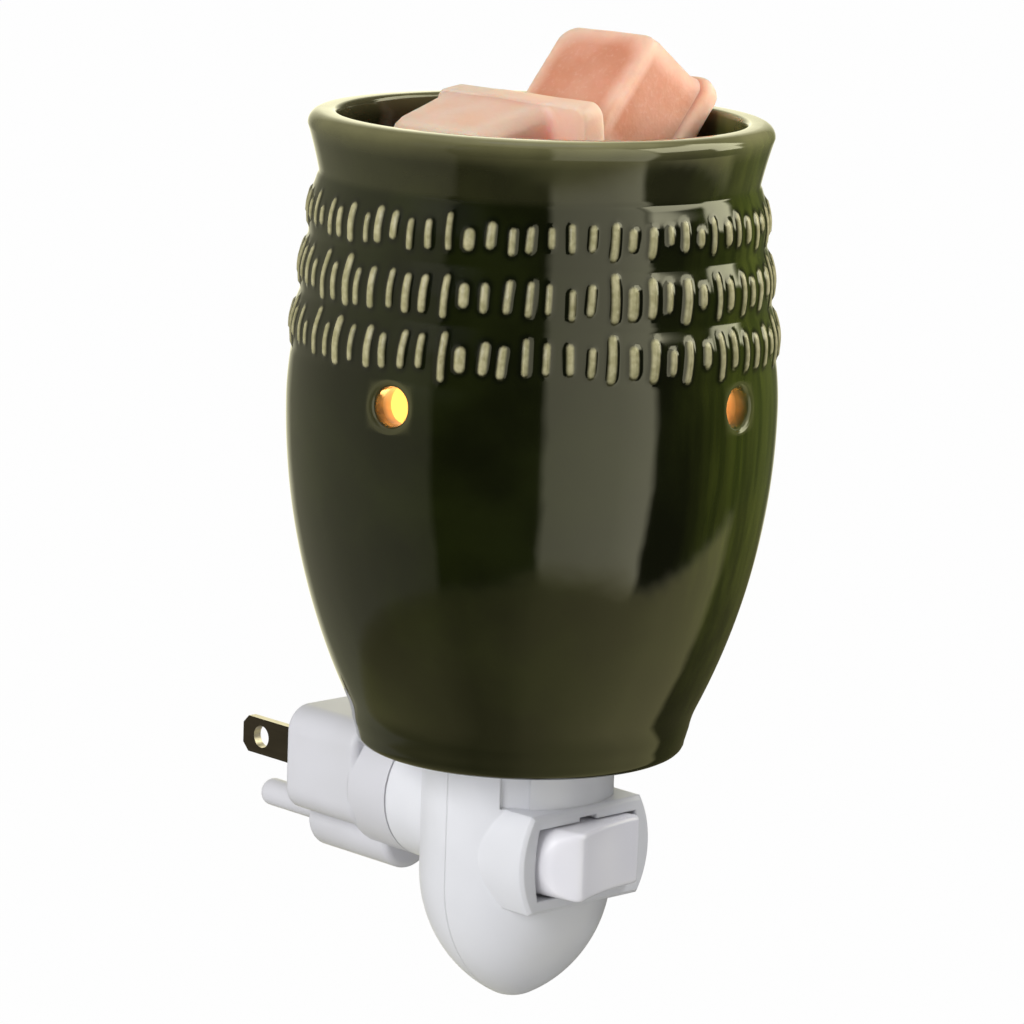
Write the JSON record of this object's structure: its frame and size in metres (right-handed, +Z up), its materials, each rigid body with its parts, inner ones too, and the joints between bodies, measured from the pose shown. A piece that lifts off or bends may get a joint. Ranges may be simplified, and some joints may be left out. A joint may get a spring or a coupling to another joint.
{
  "type": "plug-in wax warmer",
  "caption": "Plug-in wax warmer: a glazed ceramic shade with a dish of wax melts, lit by a small lamp, on a switched plastic base that turns on its wall plug.",
  "frame": {"origin": "on the plug's wall face, where the axis of its swivel meets the wall", "axes": "+Z up along the lamp, +Y into the wall along the blades, +X to the right seen from the room"},
  "size_m": [0.0802, 0.1036, 0.1602],
  "materials": {
    "glaze": "glossy dark green glaze, pale where it breaks over raised dashes",
    "white_plastic": "smooth white",
    "dark_plastic": "moulded",
    "steel": "plain",
    "nickel": "nickel plated",
    "brass": "plain",
    "copper": "spring copper alloy",
    "black_wire": "insulated",
    "white_wire": "insulated",
    "lamp_glass": "clear",
    "filament": "glowing",
    "wax": "soft translucent wax"
  },
  "bodies": {
    "plug": {"plug_body": "white_plastic", "plug_face": "white_plastic", "blade_line": "nickel", "blade_neutral": "nickel", "contact_disc": "dark_plastic", "ring_outer": "copper", "ring_centre": "copper", "plug_lead_line": "black_wire", "plug_lead_neutral": "white_wire", "swivel_clip": "steel"},
    "base": {"base_front_shell": "white_plastic", "base_back_shell": "white_plastic", "base_screws": "steel", "switch_carrier": "dark_plastic", "line_strip": "copper", "lamp_terminal": "copper", "neutral_wiper": "copper", "wire_switched": "black_wire", "wire_neutral": "white_wire", "lamp_holder": "dark_plastic", "holder_sleeve": "brass", "holder_contact": "brass", "holder_rivet": "brass"},
    "rocker": {"switch_rocker": "white_plastic", "rocker_plunger": "dark_plastic", "rocker_spring": "steel"},
    "contact": {"contact_arm": "copper"},
    "bulb": {"bulb_glass": "lamp_glass", "bulb_cap": "nickel", "bulb_insulator": "dark_plastic", "bulb_tip": "nickel", "bulb_stem": "lamp_glass", "bulb_filament": "filament"},
    "shade": {"ceramic_shade": "glaze", "shade_ring": "white_plastic"},
    "left_melt": {"wax_left": "wax"},
    "right_melt": {"wax_right": "wax"}
  },
  "joints": [
    {"name": "plug_swivel", "type": "hinge", "parent": "plug", "child": "base", "pos_m": [0, 0, 0], "axis": [0, 1, 0], "range_deg": [-90, 90]},
    {"name": "rocker_turn", "type": "hinge", "parent": "base", "child": "rocker", "pos_m": [0, -0.0578, -0.00345], "axis": [0, 0, -1], "range_deg": [0, 24]},
    {"name": "contact_turn", "type": "hinge", "parent": "base", "child": "contact", "pos_m": [0, -0.0519, -0.00345], "axis": [0, 0, 1], "range_deg": [0, 14.2]},
    {"name": "bulb_turn", "type": "hinge", "parent": "base", "child": "bulb", "pos_m": [0, -0.0455, 0.03], "axis": [0, 0, 1], "range_deg": [0, 360]},
    {"name": "shade_lift", "type": "slide", "parent": "base", "child": "shade", "axis": [0, 0, 1], "range_m": [0, 0.07]},
    {"name": "left_melt_lift", "type": "slide", "parent": "shade", "child": "left_melt", "axis": [0, 0, 1], "range_m": [0, 0.04]},
    {"name": "right_melt_lift", "type": "slide", "parent": "shade", "child": "right_melt", "axis": [0, 0, 1], "range_m": [0, 0.04]}
  ],
  "couplings": [
    {"joint": "contact_turn", "follows": "rocker_turn", "ratio": 0.5833}
  ]
}
